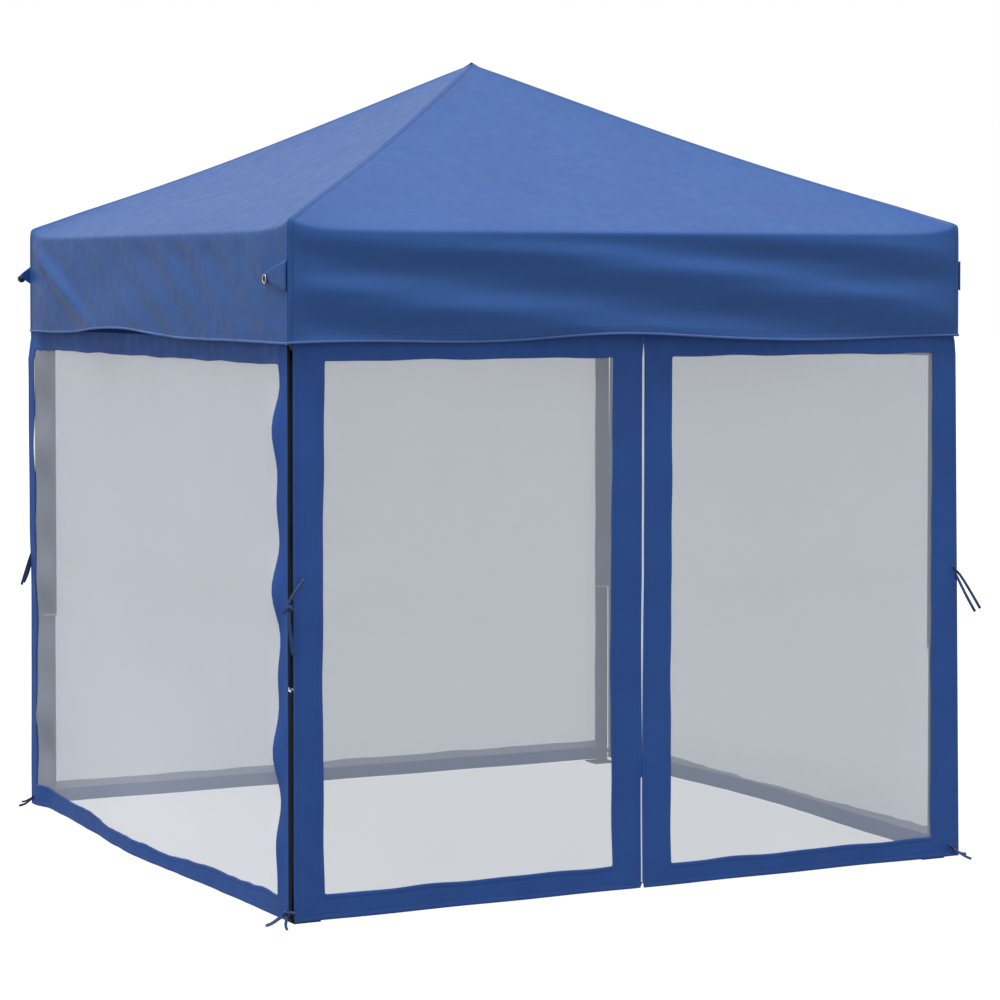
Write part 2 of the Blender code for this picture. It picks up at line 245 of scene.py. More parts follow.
# the second colour is painted light: the net's inner face is made paler as if lit through from outside
NET = net_cloth("wall_net", (0.42, 0.46, 0.54), (0.82, 0.88, 0.96), 0.56)
ZIP_TEETH = hard("zip_teeth", (0.78, 0.86, 0.98), 0.4)
ZIP_TAPE = cloth("zip_tape", (0.035, 0.090, 0.300), 0.65, weave=900, crumple=0.05)
STEEL = hard("leg_powder_coat", (0.006, 0.008, 0.014), 0.45, wear=(0.05, 0.055, 0.06),
             Specular_IOR_Level=0.2)
ALUMINIUM = hard("bar_powder_coat", (0.008, 0.009, 0.013), 0.40, wear=(0.12, 0.12, 0.13),
                 Specular_IOR_Level=0.3)
PLASTIC = hard("moulded_black", (0.012, 0.012, 0.014), 0.5, grain=420.0, bump=0.2, wear=(0.05, 0.05, 0.055))
BUTTON = hard("moulded_grey", (0.22, 0.22, 0.23), 0.5, grain=420.0, bump=0.2, wear=(0.4, 0.4, 0.4))
RING = hard("leg_end_ring", (0.55, 0.56, 0.58), 0.45, grain=300.0)
# black hook tape, partly painted shade: the strip of it beside each front leg stands in for shade there
HOOK_TAPE_AND_SHADE = cloth("hook_tape_and_painted_shade", (0.006, 0.007, 0.010), 0.8, weave=900, bump=0.8, Specular_IOR_Level=0.2)
CHROME = hard("eyelet_metal", (0.62, 0.63, 0.65), 0.28, 1.0, grain=500.0, bump=0.05, wear=(0.8, 0.8, 0.8))


# ---------------------------------------------------------------- meshes
SAME_POINT = 1e-6           # points closer than this are one


def make(name, points, faces, mat, toward=None, seam=None):
    """A mesh object from points; faces are turned so that they look toward the given direction."""
    mesh = bpy.data.meshes.new(name)
    mesh.from_pydata([tuple(p) for p in points], [], faces)
    if seam is not None:
        layer = mesh.attributes.new("seam", "FLOAT", "POINT")
        layer.data.foreach_set("value", np.array(seam, np.float32))
    bm = bmesh.new()
    bm.from_mesh(mesh)
    bmesh.ops.remove_doubles(bm, verts=bm.verts, dist=SAME_POINT)
    bmesh.ops.dissolve_degenerate(bm, edges=bm.edges, dist=SAME_POINT)
    if toward is None:
        bmesh.ops.recalc_face_normals(bm, faces=bm.faces)
    elif sum(f.normal.dot(toward) * f.calc_area() for f in bm.faces) < 0:
        bmesh.ops.reverse_faces(bm, faces=bm.faces)
    bm.to_mesh(mesh)
    bm.free()
    mesh.materials.append(mat)
    mesh.polygons.foreach_set("use_smooth", [True] * len(mesh.polygons))
    obj = bpy.data.objects.new(name, mesh)
    bpy.context.scene.collection.objects.link(obj)
    return obj


def quads(rows, columns, closed=False):
    """Faces of a grid of points stored row by row; closed joins the last column to the first."""
    faces = []
    for i in range(rows - 1):
        for j in range(columns if closed else columns - 1):
            k = (j + 1) % columns
            faces.append((i * columns + j, i * columns + k, (i + 1) * columns + k, (i + 1) * columns + j))
    return faces


def tube(name, path, radius, mat, sides=8):
    """A round bead along a path, with closed ends."""
    path = [Vector(p) for p in path]
    points = []
    for i, p in enumerate(path):
        run = (path[min(i + 1, len(path) - 1)] - path[max(i - 1, 0)]).normalized()
        side = run.cross(UP if abs(run.z) < 0.9 else X).normalized()
        top = run.cross(side)
        points += [p + (side * cos(2 * pi * k / sides) + top * sin(2 * pi * k / sides)) * radius
                   for k in range(sides)]
    faces = quads(len(path), sides, closed=True)
    last = (len(path) - 1) * sides
    faces += [tuple(range(sides)), tuple(range(last, last + sides))]
    return make(name, points, faces, mat)


def thicken(obj, thickness):
    """Gives a sheet its thickness, away from the side that its faces look to."""
    solid = obj.modifiers.new("cloth", "SOLIDIFY")
    solid.thickness = thickness
    solid.offset = -1


def gather(obj):
    """Gives the piece its own copy of its mesh."""
    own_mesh(obj)


# ---------------------------------------------------------------- canopy
SEAM_STEPS = (0.0, 0.0025, 0.005, 0.008, 0.011, 0.0135, 0.0165)    # from a hip or corner
SEAM_HEIGHT = (-0.0006, 0.0014, 0.0018, 0.0017, 0.0012, -0.0002, 0.0)
SEAM_MARK = (0.60, 0.10, 0.0, 0.0, 0.10, 0.45, 0.0)                # how dark, at each step
COLUMNS = 96                # across a side, between its seams
PEAK_ZONE = 0.06            # seams narrow to nothing over this far from the peak
ROOF_SAG, ROOF_BELLY = 0.020, 0.012       # of the whole panel, and more in its middle
EAVE_ZONE = 0.6             # the eave's dip between the corners fades out over this far up the roof


def roof_height(out, across):
    """Height of the sagging roof: straight hips would run from the peak to the raised corners."""
    out = max(out, 1e-6)
    up = 1 - out
    hip = max(out - abs(across), 0.0)
    sag = ROOF_SAG * sin(pi * min(out, 1) ** 1.2)
    belly = ROOF_BELLY * sin(pi * min(out, 1)) * (1 - (across / out) ** 2)
    dip = (CORNER_Z - EAVE_Z) * max(0.0, 1 - up / EAVE_ZONE) ** 2 * (1 - exp(-hip / (0.06 + 0.25 * up)))
    return APEX_Z - (APEX_Z - CORNER_Z) * out - sag - belly - dip


def soft_plus(t):
    """t where it is positive and 0 where it is negative, rounded between them as the eave's fold is."""
    return (t + sqrt(t * t + FOLD_RADIUS ** 2)) / 2


# ---- hem of the valance: rise, its middle and half width across, then height, rate and phase of ripples ----
HEM_SHAPE = {
    "front": (0.016, -0.12, 0.26, 0.004, 7, 1),
    "left": (0.020, 0.20, 0.33, 0.001, 7, 0),
    "right": (0.010, 0.20, 0.30, 0.004, 6, 2),
    "back": (0.010, 0.20, 0.30, 0.004, 6, 2),
}


def hem_height(side, across):
    """The hem rides up a little where the cloth below the eave is pulled."""
    rise, middle, reach, ripple, rate, phase = HEM_SHAPE[side]
    return HEM_Z + rise * exp(-((across - middle) / reach) ** 2) + ripple * sin(rate * across + phase)


def turns(length, pitch):
    """The angle of a wave of the given pitch after the given length."""
    return 2 * pi * length / pitch


def rough(a, b, c):
    """Smooth noise between -1 and 1 at a place."""
    return noise.noise(Vector((a, b, c)))


def front_folds(across, below):
    """Long folds that run nearly level and drop to the right, with finer streaks on them."""
    pitch = 0.165
    wave = below - 0.12 * (across + 1) + 0.010 * rough(across * 1.7, below * 3, 5.0)
    long_folds = 0.0110 * cos(turns(wave, pitch)) + 0.0014 * sin(turns(wave * 2.3 + across * 0.35, pitch))
    streak = below - 0.15 * (across + 1) + 0.02 * rough(across * 2.1, below * 4, 2.0)
    return long_folds + 0.0010 * rough(across * 1.1, streak * 3, 11.0) * sin(turns(streak, 0.047))


def left_folds(across, below):
    """Slanting folds, a deep crease from the far top corner, and a swell above the raised hem."""
    uneven = rough(across * 1.6, below * 2.5, 8.0)
    wave = across + 1.68 * below + 0.09 * uneven
    slanting = 0.0050 * (0.75 + 0.9 * uneven) * cos(turns(wave, 0.235)) * smooth((0.92 - across) / 0.3)
    beside_crease = (1 - across) * 0.42 - below + 0.03
    crease = 0.017 * exp(-(beside_crease / 0.024) ** 2) * smooth((1 - across) / 0.06) * smooth(across + 0.2)
    swell = 0.014 * smooth((below - 0.14) / 0.15) * exp(-((across - 0.30) / 0.25) ** 2)
    return slanting + crease + swell


def right_folds(across, below):
    """Nearly level folds, crossed by slanting ones."""
    return 0.0070 * cos(turns(below + 0.16 * across, 0.17) + 0.6) + 0.003 * sin(turns(across - below, 0.21))


def back_folds(across, below):
    """Slanting folds, crossed by nearly level ones."""
    return 0.0060 * cos(turns(across - 1.1 * below, 0.23)) + 0.0035 * cos(turns(below + 0.1 * across, 0.15))


FOLDS = {"front": front_folds, "left": left_folds, "right": right_folds, "back": back_folds}


def valance_folds(side, across, below):
    """How far the valance stands out, below being the depth under the eave's corners."""
    return FOLDS[side](across, below) + 0.006 * rough(across * 2.3, below * 7, len(side) * 3.7)


def columns_across(reach):
    """Places across a row that is 2 x reach wide: close together at the seams on both ends."""
    steps = [d * min(1.0, reach / PEAK_ZONE) for d in SEAM_STEPS]
    inner = reach - steps[-1]
    middle = [inner * (2 * k / COLUMNS - 1) for k in range(COLUMNS + 1)]
    return [d - reach for d in steps[:-1]] + middle + [reach - d for d in reversed(steps[:-1])]


def by_column(values):
    """One value for each column, from the values at the seam's steps."""
    return list(values[:-1]) + [values[-1]] * (COLUMNS + 1) + list(reversed(values[:-1]))


LIFT = by_column(SEAM_HEIGHT)
MARK = by_column(SEAM_MARK)
HEM_STITCH = 0.018          # height of the hem's row of stitches above its edge
STITCH_MARK = 0.35          # how dark that row is
ROOF_SLOPE = atan(APEX_Z - EAVE_Z)
LEAST_REACH = 0.0004        # half width of the canopy's row at the peak


def canopy_point(side, across, out_edge, s, lift):
    """A point on the roof (s below 0) or the valance (s above 0), s metres from the fold of the eave."""
    out = HALF - cos(ROOF_SLOPE) * soft_plus(-s)
    drop = soft_plus(s)
    z = roof_height(out, across)
    full = z - hem_height(side, across / out_edge)
    hang = full * drop / (EAVE_Z - HEM_Z)
    below = CORNER_Z - z + hang
    corner = out_edge - abs(across)
    folds = valance_folds(side, across / out_edge, below) * smooth(s / 0.07) * (1 - exp(-corner / 0.07))
    tuck = -0.004 * smooth((hang - 0.1) / 0.2) * (1 - exp(-corner / 0.25))
    pulled = CORNER_PULL * smooth((out - 0.85) / 0.13) * exp(-(corner / 0.10) ** 2)
    across -= pulled if across > 0 else -pulled
    out -= pulled
    out += folds + tuck + lift * smooth(s / 0.02)
    return at(side, across, out, z - hang + lift * smooth(1 - s / 0.02))


def canopy_piece(name, side, steps, body, nodes, stitched=None):
    """A piece of the canopy through rows of cloth at the given distances from the eave's fold.

    stitched is the number of a row of stitches.
    """
    points, seam = [], []
    for row, s in enumerate(steps):
        reach = max(HALF - cos(ROOF_SLOPE) * soft_plus(-s), LEAST_REACH)
        shrink = min(1.0, reach / PEAK_ZONE)
        for column, across in enumerate(columns_across(reach)):
            points.append(canopy_point(side, across, reach, s, LIFT[column] * shrink))
            seam.append(max(MARK[column] * shrink, STITCH_MARK if row == stitched else 0.0))
    width = len(points) // len(steps)
    obj = make(name, points, quads(len(steps), width), CANOPY, SIDES[side][1] + UP, seam)
    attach(obj, body)
    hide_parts(*nodes)
    gather(obj)


# ---- rows of each piece, as distances from the eave's fold: closer together near the fold and the hem ----
SLANT = hypot(1, APEX_Z - EAVE_Z)
CREASE_S = -(HALF - CREASE_OUT) * SLANT
UPPER = [CREASE_S - (SLANT + CREASE_S) * k / 40 for k in range(41)]
LOWER = [CREASE_S * (1 - k / 22) for k in range(20)] + [-0.028, -0.020, -0.014, -0.009, -0.005, -0.002, 0.0]
DROP = EAVE_Z - HEM_Z
STITCHES = DROP - HEM_STITCH
OVER_FOLD = [-0.012, -0.006, 0.0, 0.003, 0.006, 0.010, 0.015, 0.021, 0.028]
DOWN = [0.036 + (STITCHES - 0.004 - 0.036) * k / 22 for k in range(23)]
HANG = OVER_FOLD + DOWN + [STITCHES, STITCHES + 0.003, DROP - 0.008, DROP - 0.001]
BEAD_RADIUS = 0.0032


def canopy():
    """The two parts of each roof panel, the valance below it, and the bead along its hem."""
    for side, (_, _, body) in SIDES.items():
        canopy_piece(f"roof_upper_cloth_{side}", side, UPPER, f"roof_{side}_upper", [f"roof_upper_{side}"])
        canopy_piece(f"roof_lower_cloth_{side}", side, LOWER, f"roof_{side}_lower", [f"roof_lower_{side}"])
        canopy_piece(f"valance_cloth_{side}", side, HANG, body, ["valance"],
                     stitched=HANG.index(STITCHES))
        hem = [canopy_point(side, a, HALF, DROP, 0.0) for a in columns_across(HALF)]
        bead = tube(f"valance_hem_{side}", hem, BEAD_RADIUS, PIPING)
        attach(bead, body)
        gather(bead)


canopy()


# ---------------------------------------------------------------- side walls
WALL_TOP = 1.495            # behind the valance, and below the roof when that is folded
WALL_LOW = 0.004
SIDE_EDGE = 0.9483          # near end of the left and right walls, beside the front legs
SIDE_FAR = 0.990            # their far end, over the back legs
ZIP = 0.012                 # where the front wall opens
SHUT_Z = 0.34               # height of the zip's shut end
BORDER_THICK = 0.0011
NET_BEHIND = 0.0026         # from the border to the net
NET_MARGIN = 0.022          # of net under the border
NET_STEP = 0.03

# ---- an edge of a border, from the edge inward: distance, relief, and how dark its stitches are ----
EDGE = (
    (0.0, -0.0006, 0.12),
    (0.002, 0.0004, 0.0),
    (0.0045, 0.0006, 0.0),
    (0.007, 0.0006, 0.0),
    (0.010, 0.0004, 0.04),
    (0.0125, -0.0002, 0.16),
    (0.015, 0.0, 0.0),
)


def wander(side, across, z, scale, seed):
    """Smooth noise over a wall, finer with a larger scale."""
    return rough(across * scale, z * scale * 0.7, seed + 7.3 * len(side))


def wave(z, seed):
    """An uneven wave up a wall's upright edge."""
    return 0.62 * sin(turns(z, 0.37) + seed) + 0.5 * sin(turns(z, 0.205) + 2.1 * seed + 0.8)


def slack_relief(side, across, z, out):
    """The left and right walls: wavy upright borders, flat beside the front legs, bowed out at the bottom."""
    near = exp(-((across + 0.895) / 0.040) ** 2) * smooth((across + SIDE_EDGE) / 0.035)
    far = exp(-((across - 0.895) / 0.050) ** 2) * smooth((SIDE_FAR - across) / 0.05)
    seed = 0.4 if side == "left" else 2.2
    tall = smooth(z / 0.15) * smooth((1.45 - z) / 0.15)
    out += (0.0095 * near * (wave(z, seed) + 0.7) + 0.0100 * far * wave(z, seed + 1.9)) * tall
    beside_leg = smooth((-across - 0.905) / 0.04)
    out += (-0.0007 - out) * beside_leg
    below_valance = smooth((1.41 - z) / 0.06)
    over_back_leg = smooth((across - 0.87) / 0.09)
    out += 0.0200 * over_back_leg * (0.5 + 0.5 * below_valance)
    low = 1 - smooth(z / 0.55)
    out += 0.032 * low * cos(pi * across / 2 / SIDE_FAR) ** 2 * (1 + 0.2 * sin(5 * across + 1))
    ripple = wander(side, across, 0, 6.0, 21.0) + 0.6 * wander(side, across, 0, 15.0, 13.0)
    out += 0.0055 * (1 - smooth(z / 0.25)) * ripple * max(0.0, 1 - abs(across)) ** 0.5
    if side == "right":
        least = 0.0010
        over_foot = smooth((across - 0.80) / 0.07) * smooth((0.62 - z) / 0.12)
        out += (least + soft_plus(out - least) - out) * over_foot
    return out


def wall_relief(side, across, z):
    """How far a wall's cloth stands out of its plane: billows, and gathers at the top."""
    out = 0.0035 * wander(side, across, z, 1.6, 0.0) + 0.0015 * wander(side, across, z, 6.0, 3.0)
    out += 0.0035 * smooth((z - 0.70) / 0.15)
    gathers = sin(turns(across, 0.071) + 3 * wander(side, across, 0, 4.0, 9.0))
    out += 0.0018 * smooth((z - 1.28) / 0.12) * gathers
    if side in ("left", "right"):
        return slack_relief(side, across, z, out)
    out += 0.0030 * (1 - smooth(z / 0.30)) * sin(turns(across, 0.41) + 0.5)
    over_leg = smooth((abs(across) - 0.89) / 0.06)
    return out + (0.0005 - out) * over_leg


def sagging(side, across, z):
    """The left wall's upper edge runs low in its middle, so that a gap shows under the hem."""
    start, depth = 1.395, 0.054
    if side != "left" or z < start:
        return z
    middle = smooth((0.58 - abs(across - 0.24)) / 0.22)
    return z - depth * middle * (z - start) / (WALL_TOP - start)


def ring_of(a0, a1, z0, z1, w0, w1, v0, v1, corner=0.005, step=0.026):
    """Pairs of points (inner, outer) round a window with rounded corners in a rectangle."""
    pairs = []
    runs = [
        ((w0 + corner, v0), (w1 - corner, v0), (w0 + corner, z0), (w1 - corner, z0)),
        ((w1, v0 + corner), (w1, v1 - corner), (a1, v0 + corner), (a1, v1 - corner)),
        ((w1 - corner, v1), (w0 + corner, v1), (w1 - corner, z1), (w0 + corner, z1)),
        ((w0, v1 - corner), (w0, v0 + corner), (a0, v1 - corner), (a0, v0 + corner)),
    ]
    centres = [(w1 - corner, v0 + corner), (w1 - corner, v1 - corner),
               (w0 + corner, v1 - corner), (w0 + corner, v0 + corner)]
    sharp = [(a1, z0), (a1, z1), (a0, z1), (a0, z0)]

    def between(a, b, t):
        return (a[0] + (b[0] - a[0]) * t, a[1] + (b[1] - a[1]) * t)

    for k, (i0, i1, o0, o1) in enumerate(runs):
        count = max(4, ceil(hypot(i1[0] - i0[0], i1[1] - i0[1]) / step))
        for n in range(count + 1):
            pairs.append((between(i0, i1, n / count), between(o0, o1, n / count)))
        nxt = runs[(k + 1) % 4][2]
        for n in range(1, 6):
            t = n / 6
            angle = -pi / 2 + pi / 2 * (k + t)
            inner = (centres[k][0] + corner * cos(angle), centres[k][1] + corner * sin(angle))
            outer = between(o1, sharp[k], t * 2) if t <= 0.5 else between(sharp[k], nxt, t * 2 - 1)
            pairs.append((inner, outer))
    return pairs


def parted(half, across, z):
    """Moves the cloth of one half of the front wall: -1 is the left half, 1 the right one.

    The halves stand apart along the open zip and at the hem, and the left one laps under the right one
    below the zip's shut end.  The right half's far end flares a little toward the ground.
    """
    gap = 0.0036 * smooth((z - 0.30) / 0.45) * smooth((1.425 - z) / 0.012)
    gap += 0.0040 * exp(-(z - WALL_LOW) / 0.006)
    near = smooth(1 - abs(across - ZIP) / 0.03)
    if half == -1:
        across += 0.005 * smooth((SHUT_Z - z) / 0.04) * smooth((z - 0.012) / 0.004) * near
    flare = smooth((across - 0.9) / 0.115) * (0.021 * (1 - z / 1.40) - 0.012 * smooth((z - 1.415) / 0.02))
    return across + half * (gap + 0.0002) * near + flare


def on_wall(side, half, across, z, lift):
    """A point of a wall's cloth; half is -1 or 1 for the halves of the front wall, and 0 for other walls."""
    if half:
        across = parted(half, across, z)
    if half == -1:
        lift -= 0.0026 * smooth((SHUT_Z - z) / 0.05) * smooth((across - ZIP + 0.02) / 0.012)
    return at(side, across, WALL_OUT + wall_relief(side, across, z) + lift, sagging(side, across, z))


def window_edge(side, half, window, seed, a, z):
    """The window's edge is a little uneven, and more so on the slack left and right walls."""
    slack = side in ("left", "right")
    _, _, v0, v1 = window
    across = a + (0.0055 if slack else 0.0012) * wave(z, seed) * (0.45 if slack and a > 0 else 1)
    if a < 0 and half == -1:
        across -= 0.006 * sin(pi * (z - v0) / (v1 - v0))
    if slack and z < 0.5:
        bowed = z - 0.014 * cos(pi * a / 2) ** 2
        up = bowed + 0.0085 * rough(a * 5, 0, seed) + 0.0045 * rough(a * 17, 4, seed)
    else:
        up = z + 0.0012 * (sin(turns(a, 0.31) + seed) + 0.7 * sin(turns(a, 0.187) + 2 * seed))
    return across, up


def border_steps(length):
    """Distance from the window, relief and stitch mark of each row of a border that is this wide."""
    last = EDGE[-1][0]
    middle = [(last + (length - 2 * last) * share, 0.0, 0.0) for share in (0.25, 0.5, 0.75)]
    return [*EDGE, *middle, *[(length - d, lift, mark) for d, lift, mark in reversed(EDGE)]]


def wall_piece(name, side, body, rectangle, window, keep, held, node, half=0, lost_area=0.0):
    """A wall's border with its window, and the net behind it."""
    a0, a1 = rectangle
    w0, w1, v0, v1 = window
    seed = 0.7 * len(name)
    columns = []
    for inner, outer in ring_of(a0, a1, WALL_LOW, WALL_TOP, *window):
        i = Vector(window_edge(side, half, window, seed, *inner))
        o = Vector(outer)
        length = (o - i).length
        column = []
        for d, lift, mark in border_steps(length):
            p = i + (o - i) * (d / length)
            column.append((on_wall(side, half, p.x, p.y, lift), mark))
        columns.append(column)
    rows = list(zip(*columns))
    points = [point for row in rows for point, _ in row]
    seam = [mark for row in rows for _, mark in row]
    border = make(f"{name}_border", points, quads(len(rows), len(columns), closed=True), BORDER,
                  SIDES[side][1], seam)
    thicken(border, BORDER_THICK)
    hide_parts(node)
    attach(border, body)
    gather(border)

    wide, tall = ceil((w1 - w0) / NET_STEP), ceil((v1 - v0) / NET_STEP)
    net_width, net_height = w1 - w0 + 2 * NET_MARGIN, v1 - v0 + 2 * NET_MARGIN
    points = [on_wall(side, half, w0 - NET_MARGIN + net_width * column / wide,
                      v0 - NET_MARGIN + net_height * row / tall, -NET_BEHIND)
              for row in range(tall + 1) for column in range(wide + 1)]
    net = make(f"{name}_net", points, quads(tall + 1, wide + 1), NET, SIDES[side][1])
    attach(net, body)
    gather(net)


def walls():
    """Each wall's ends across its side, and the left, right, lower and upper edges of its window."""
    long_wall = (LONG_WALL_KEEP, LONG_WALL_HELD)
    short_wall = (SHORT_WALL_KEEP, SHORT_WALL_HELD)
    wall_piece("front_wall_left_half", "front", "frame_root", (-0.9730, ZIP), (-0.889, -0.076, 0.068, 1.390),
               *long_wall, "wall_front", half=-1)
    wall_piece("front_wall_right_half", "front", "frame_root", (ZIP, 0.9945), (0.098, 0.918, 0.062, 1.390),
               *long_wall, "wall_front", half=1)
    wall_piece("back_wall", "back", "leg_back_left", (-0.985, 0.985), (-0.938, 0.938, 0.066, 1.385),
               *long_wall, "wall_back")
    wall_piece("left_wall", "left", "frame_root", (-SIDE_EDGE, SIDE_FAR), (-0.898, 0.944, 0.062, 1.380),
               *short_wall, "wall_left", lost_area=0.050)
    wall_piece("right_wall", "right", "leg_front_right", (-SIDE_EDGE, SIDE_FAR),
               (-0.898, 0.940, 0.072, 1.380), *short_wall, "wall_right")


walls()

# ---- hook tape: behind the wall, cut back round the leg's end ring and wider below it; its black edge showing beside the leg also stands in for shade there ----
HOOK_TAPE_BACK = 0.0020     # from the wall's plane
HOOK_TAPE_START = -0.928
HOOK_TAPE_ENDS = {"below": -0.968, "beside": -0.936, "above": -0.960}
HOOK_TAPE_LOW, HOOK_TAPE_TOP = 0.010, 1.425
HOOK_TAPE_WIDTH, HOOK_TAPE_THICK = 0.035, 0.0008      # the width is the mean one


def hook_tapes():
    """Black hook tape along the edges of the left and right walls that lie beside the front legs, partly
    painted shade: where it shows past the wall's edge it darkens the strip beside the leg.
    """
    for side, body in (("left", "frame_root"), ("right", "leg_front_right")):
        ring_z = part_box(f"upper_leg_front_{side}")[0].z
        heights = [HOOK_TAPE_LOW + (ring_z - 0.006 - HOOK_TAPE_LOW) * k / 35 for k in range(36)]
        heights += [ring_z - 0.0050, ring_z + 0.0050, ring_z + 0.0060]
        heights += [ring_z + 0.0160 + (HOOK_TAPE_TOP - ring_z - 0.0160) * k / 54 for k in range(55)]
        points = []
        for z in heights:
            part = "below" if z < ring_z - 0.0055 else "beside" if z < ring_z + 0.0055 else "above"
            width = HOOK_TAPE_ENDS[part] - HOOK_TAPE_START
            points += [at(side, HOOK_TAPE_START + width * k / 3, WALL_OUT - HOOK_TAPE_BACK, z)
                       for k in range(4)]
        tape = make(f"{side}_wall_hook_tape", points, quads(len(heights), 4), HOOK_TAPE_AND_SHADE, SIDES[side][1])
        thicken(tape, HOOK_TAPE_THICK)
        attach(tape, body)
        gather(tape)


hook_tapes()

ZIP_LOW, ZIP_TOP = 0.020, 1.424
COIL_ROWS, ZIP_TAPE_ROWS = 760, 120
COIL_COLUMNS = (-0.0032, -0.0016, -0.0004, 0.0004, 0.0016, 0.0032)
ZIP_TAPE_COLUMNS = (-0.014, -0.005, 0.005, 0.014)
TOOTH = 0.0009
COIL_BACK, ZIP_TAPE_BACK = 0.0017, 0.0032      # from the wall's plane


def zip_fastener():
    """The coil between the halves of the front wall, on its tape."""
    points = []
    for r in range(COIL_ROWS):
        z = ZIP_LOW + (ZIP_TOP - ZIP_LOW) * r / (COIL_ROWS - 1)
        for c, across in enumerate(COIL_COLUMNS):
            turn = pi * r + (pi if c > 2 else 0)
            tooth = TOOTH * (0.5 + 0.5 * cos(turn)) * (1 - (abs(across) / 0.0034) ** 4)
            out = WALL_OUT + wall_relief("front", ZIP, z) - COIL_BACK + tooth * smooth((z - SHUT_Z) / 0.1)
            points.append(at("front", ZIP + across, out, z))
    coil = make("front_zip_coil", points, quads(COIL_ROWS, len(COIL_COLUMNS)), ZIP_TEETH, -Y)
    tape_points = []
    low, height = ZIP_LOW - 0.003, ZIP_TOP + 0.006 - ZIP_LOW
    for r in range(ZIP_TAPE_ROWS):
        z = low + height * r / (ZIP_TAPE_ROWS - 1)
        out = WALL_OUT + wall_relief("front", ZIP, z) - ZIP_TAPE_BACK
        tape_points += [at("front", ZIP + across, out, z) for across in ZIP_TAPE_COLUMNS]
    tape = make("front_zip_tape", tape_points, quads(ZIP_TAPE_ROWS, len(ZIP_TAPE_COLUMNS)), ZIP_TAPE, -Y)
    for piece in (coil, tape):
        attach(piece, "frame_root")
        gather(piece)


zip_fastener()


# ---------------------------------------------------------------- ties, tabs and small fittings
TIE_WIDTH = 0.010
TIE_THICK = 0.0008
KNOT_RADIUS = 0.0075


def smooth_path(path, steps=7):
    """A Catmull-Rom curve through the points of a path."""
    points = [Vector(p) for p in path]
    points = [points[0] * 2 - points[1]] + points + [points[-1] * 2 - points[-2]]
    curve = []
    for i in range(1, len(points) - 2):
        a, b, c, d = points[i - 1:i + 3]
        for k in range(steps):
            t = k / steps
            curve.append(0.5 * ((2 * b) + (c - a) * t + (2 * a - 5 * b + 4 * c - d) * t * t
                                + (3 * b - a - 3 * c + d) * t ** 3))
    return curve + [points[-2]]


def ribbon(path, width, across):
    """Points, faces and length of a strip of tape; across is its width's direction at the start.

    The strip is creased along its middle: its edges are 0.8 of its width apart and the crease stands up.
    """
    path = smooth_path(path)
    last = len(path) - 1
    twist = 0.35
    points = []
    direction = Vector(across).normalized()
    for i, p in enumerate(path):
        run = (path[min(i + 1, last)] - path[max(i - 1, 0)]).normalized()
        direction = (direction - run * direction.dot(run)).normalized()
        leaning = Matrix.Rotation(twist * (i / last) ** 2, 3, run) @ direction
        edge = leaning * width * 0.4
        points += [p - edge, p + run.cross(leaning) * width * 0.3, p + edge]
    return points, quads(len(path), 3), sum((b - a).length for a, b in zip(path, path[1:]))


def tie(name, body, knot, tails, across):
    """A knotted tape: a small wrapped knot and loose tails, each given from the knot."""
    knot = Vector(knot)
    loop = [knot + Vector((cos(t) * KNOT_RADIUS, sin(t) * KNOT_RADIUS, 0.004 * sin(2 * t)))
            for t in [2 * pi * k / 8 for k in range(9)]]
    points, faces, length = ribbon(loop, TIE_WIDTH * 1.1, UP)
    for tail in tails:
        more, strips, run = ribbon([knot] + [knot + Vector(p) for p in tail], TIE_WIDTH, across)
        faces += [tuple(i + len(points) for i in f) for f in strips]
        points += more
        length += run
    obj = make(name, points, faces, TAPE)
    thicken(obj, TIE_THICK)
    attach(obj, body)


# ---- ties: knot, tails from the knot, direction of the tape's width; x and y run outward at a corner ----
HANGING_TIE = ((0.984, 0.984, 0.785),
               [[(0.014, 0.0, -0.028), (0.029, 0.002, -0.074), (0.042, 0.004, -0.116)],
                [(0.009, 0.004, -0.032), (0.020, 0.008, -0.080), (0.033, 0.010, -0.110)]],
               (0.8, 0.0, 0.5))
MIDDLE_TIES = {
    "front_left": ((0.984, 0.984, 0.785),
                   [[(0.006, 0.004, 0.012), (-0.010, 0.010, 0.042), (-0.032, 0.012, 0.070)],
                    [(0.006, 0.004, -0.020), (0.002, 0.006, -0.065), (-0.004, 0.007, -0.118)],
                    [(0.008, -0.004, -0.006), (0.013, -0.022, -0.016)]],
                   (1.0, -0.5, 0.1)),
    "front_right": ((0.991, 0.972, 0.800),
                    [[(0.018, 0.010, -0.020), (0.042, 0.024, -0.064), (0.066, 0.038, -0.112)],
                     [(0.010, 0.010, -0.028), (0.028, 0.024, -0.074), (0.050, 0.036, -0.120)]],
                    (0.8, 0.0, 0.5)),
    "back_left": HANGING_TIE,
    "back_right": HANGING_TIE,
}
GROUND_TIE = ((0.990, 0.972, 0.030),
              [[(0.010, 0.020, -0.012), (0.020, 0.040, -0.022), (0.026, 0.062, -0.0265)],
               [(0.016, -0.004, -0.010), (0.036, -0.006, -0.022), (0.054, -0.004, -0.0265)],
               [(-0.010, 0.014, 0.002), (-0.020, 0.018, -0.004)]],
              (0.5, -0.5, 0.6))


def corner_ties():
    """Ties half way up the legs and at the ground."""
    for corner, (sx, sy, body) in CORNERS.items():
        for place, (knot, tails, across) in (("middle", MIDDLE_TIES[corner]), ("ground", GROUND_TIE)):
            outward = Vector((sx, sy, 1))
            tie(f"tie_{place}_{corner}", body, outward * Vector(knot),
                [[outward * Vector(p) for p in tail] for tail in tails], outward * Vector(across))


corner_ties()


